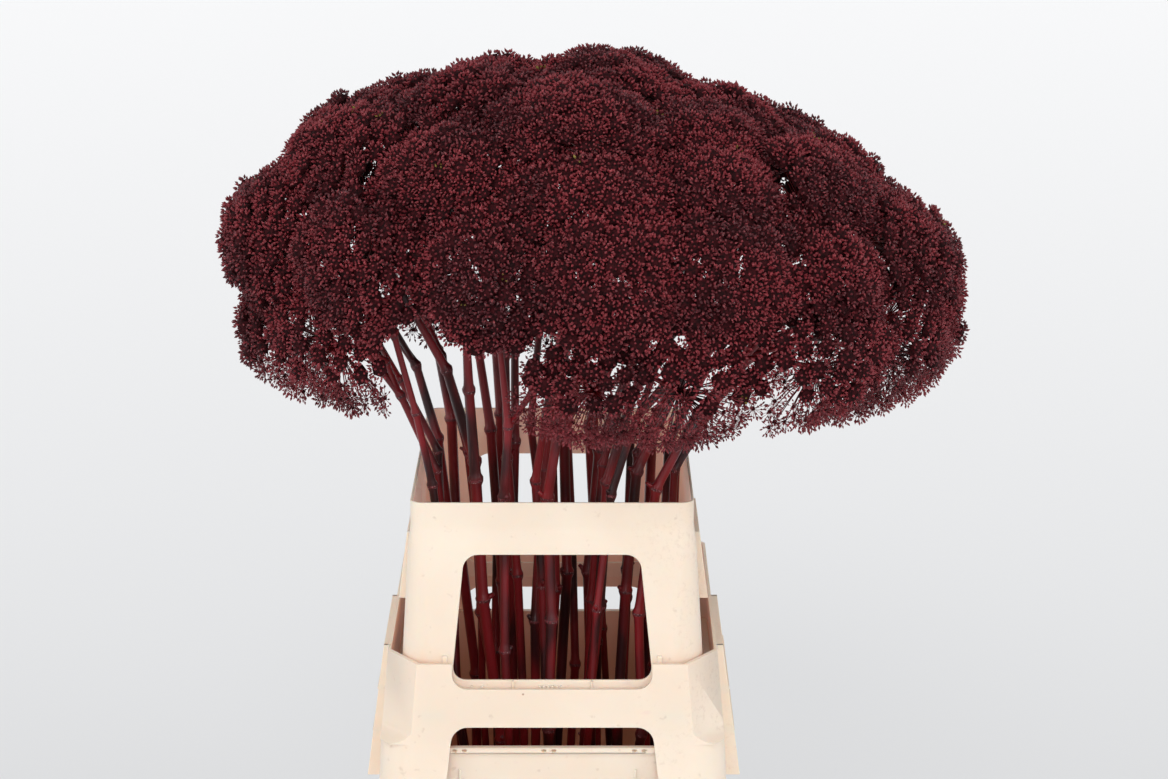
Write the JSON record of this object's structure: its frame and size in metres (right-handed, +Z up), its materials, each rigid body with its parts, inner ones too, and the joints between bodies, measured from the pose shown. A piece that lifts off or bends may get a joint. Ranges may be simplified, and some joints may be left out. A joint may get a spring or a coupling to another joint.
{
  "type": "flower container filled with painted bishop's flowers",
  "caption": "Moulded bucket with two stacked collars, filled with upright stems whose dark red umbels form a wide domed crown.",
  "frame": {"origin": "middle of the bucket's underside, on the floor", "axes": "+Z up, -Y towards the viewer of the picture, +X to the viewer's right"},
  "size_m": [0.6263, 0.4952, 0.7876],
  "materials": {
    "bucket_plastic": "cream moulded plastic, dull from use",
    "lower_plastic": "cream moulded plastic, satin, slightly scuffed",
    "upper_plastic": "cream moulded plastic, satin, slightly scuffed",
    "painted_stem": "plant stems, rays and fruits under dark red flower paint, satin"
  },
  "bodies": {
    "root": {"bucket": "bucket_plastic", "collar_lower": "lower_plastic", "collar_upper": "upper_plastic", "flower_01": "painted_stem", "flower_02": "painted_stem", "flower_03": "painted_stem", "flower_04": "painted_stem", "flower_05": "painted_stem", "flower_06": "painted_stem", "flower_07": "painted_stem", "flower_08": "painted_stem", "flower_09": "painted_stem", "flower_10": "painted_stem", "flower_11": "painted_stem", "flower_12": "painted_stem", "flower_13": "painted_stem", "flower_14": "painted_stem", "flower_15": "painted_stem", "flower_16": "painted_stem", "flower_17": "painted_stem", "flower_18": "painted_stem", "flower_19": "painted_stem", "flower_20": "painted_stem", "flower_21": "painted_stem", "flower_22": "painted_stem", "flower_23": "painted_stem", "flower_24": "painted_stem", "flower_25": "painted_stem", "flower_26": "painted_stem", "flower_27": "painted_stem", "flower_28": "painted_stem", "flower_29": "painted_stem", "flower_30": "painted_stem", "flower_31": "painted_stem", "flower_32": "painted_stem", "flower_33": "painted_stem", "flower_34": "painted_stem"}
  },
  "joints": []
}
